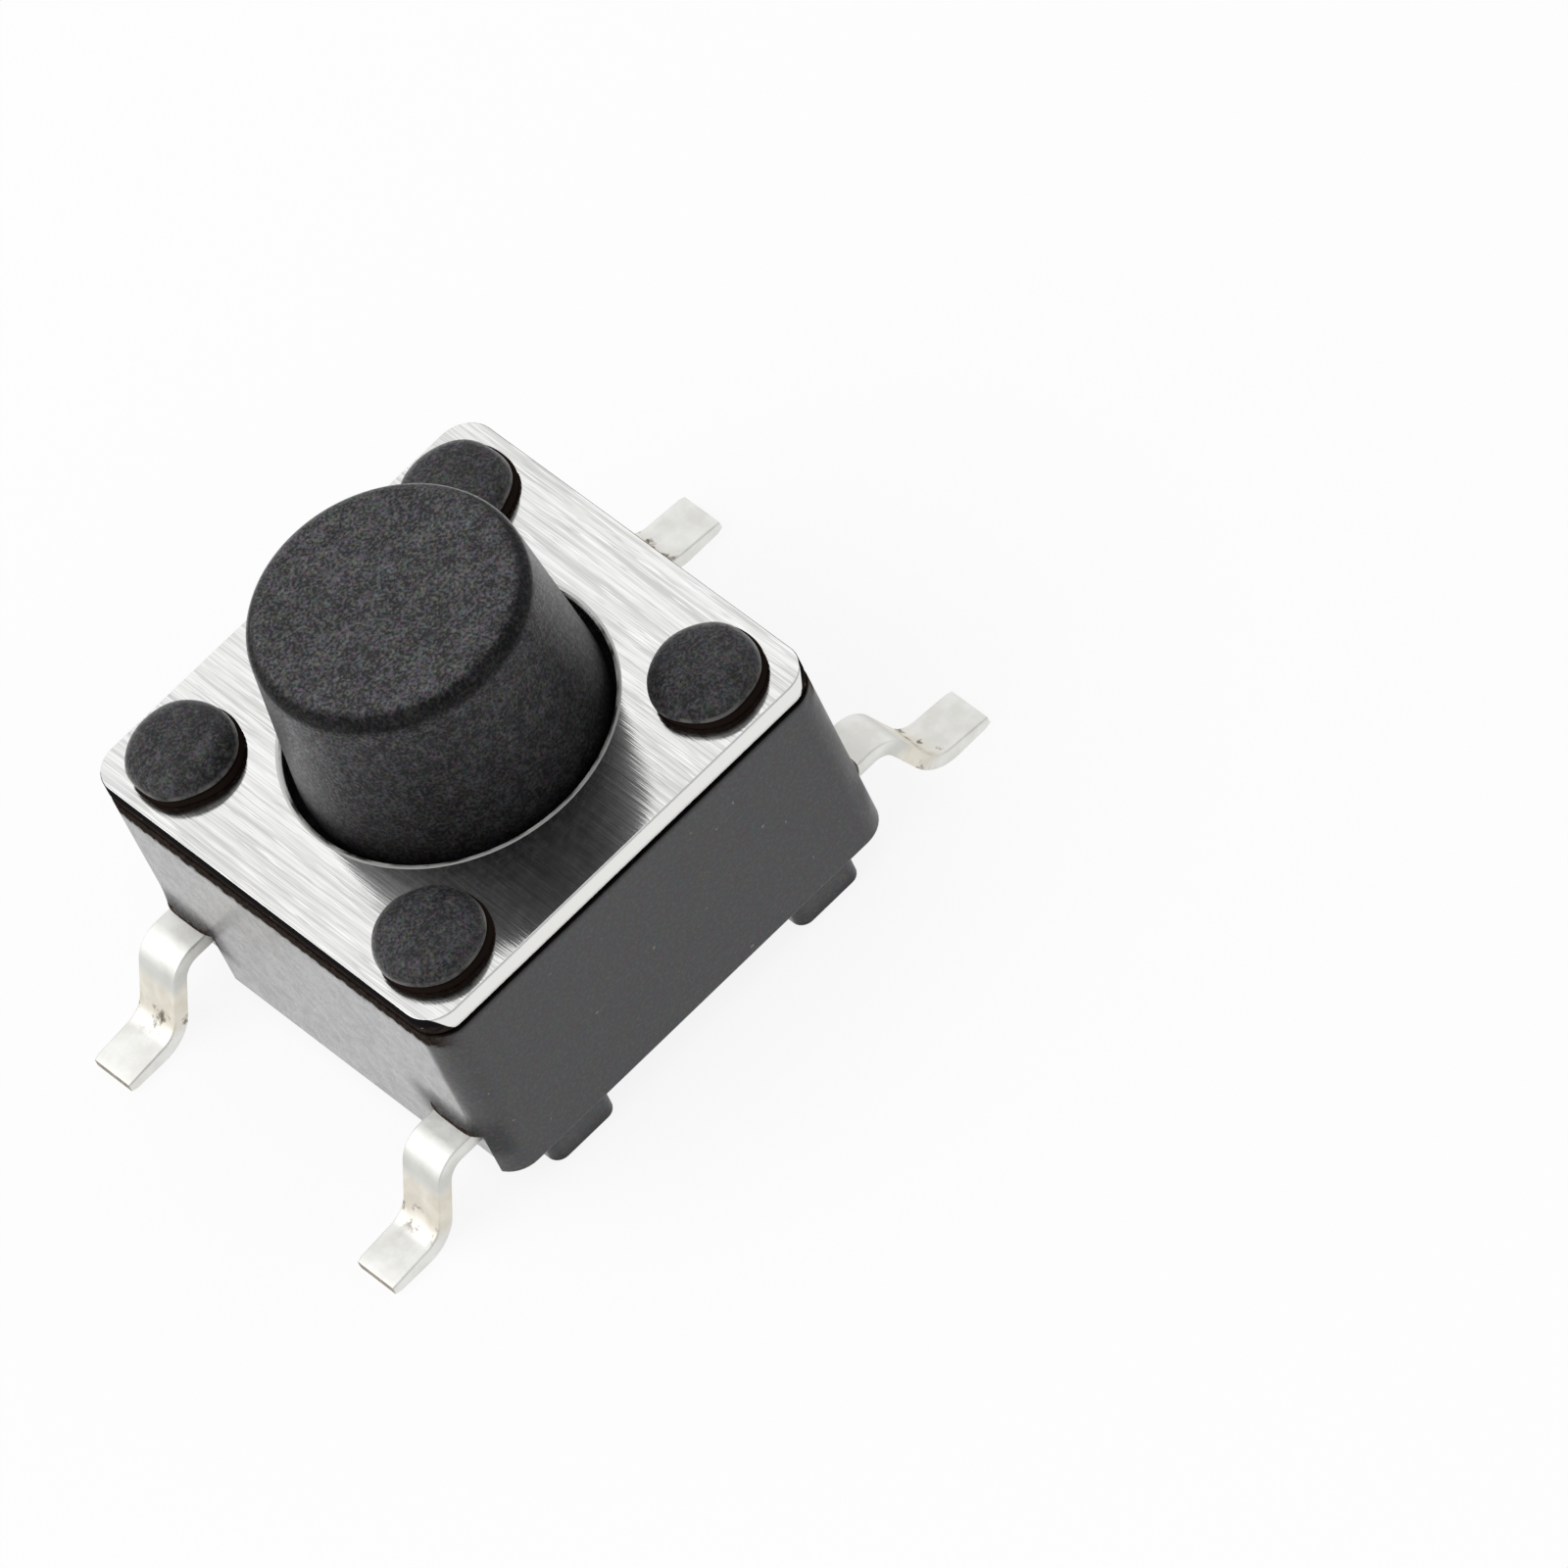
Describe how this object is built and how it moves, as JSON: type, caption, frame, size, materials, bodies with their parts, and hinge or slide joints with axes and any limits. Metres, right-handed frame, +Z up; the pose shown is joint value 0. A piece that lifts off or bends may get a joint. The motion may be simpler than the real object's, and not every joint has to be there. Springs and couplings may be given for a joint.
{
  "type": "tactile push button switch",
  "caption": "Square surface-mount tactile push button switch with a staked metal cover, gull-wing leads and a tall round button over a snap dome.",
  "frame": {"origin": "centre of the square body on the board that the leads stand on", "axes": "+Z up along the button's travel, +X towards one of the two walls that the leads leave, +Y along the other walls' direction"},
  "size_m": [0.0094, 0.006, 0.0058],
  "materials": {
    "base_plastic": "dark grey moulded plastic, matt, with a fine mineral speckle",
    "cover_plate": "bright tinned steel, brushed along one side",
    "button_plastic": "charcoal moulded plastic, matt, finely grained",
    "dome_sheet": "thin sprung contact sheet, satin",
    "tinned_strip": "bright tin plating over brass, bare at the cut tips"
  },
  "bodies": {
    "housing": {"base": "base_plastic", "cover": "cover_plate", "dome": "dome_sheet", "centre_terminal": "tinned_strip", "outer_terminal": "tinned_strip"},
    "plunger": {"button": "button_plastic"}
  },
  "joints": [
    {"name": "button_press", "type": "slide", "parent": "housing", "child": "plunger", "axis": [0, 0, -1], "range_m": [0, 0.00025], "stiffness_N_per_m": 6000, "springref_m": -0.00002, "deforming": ["dome"]}
  ]
}
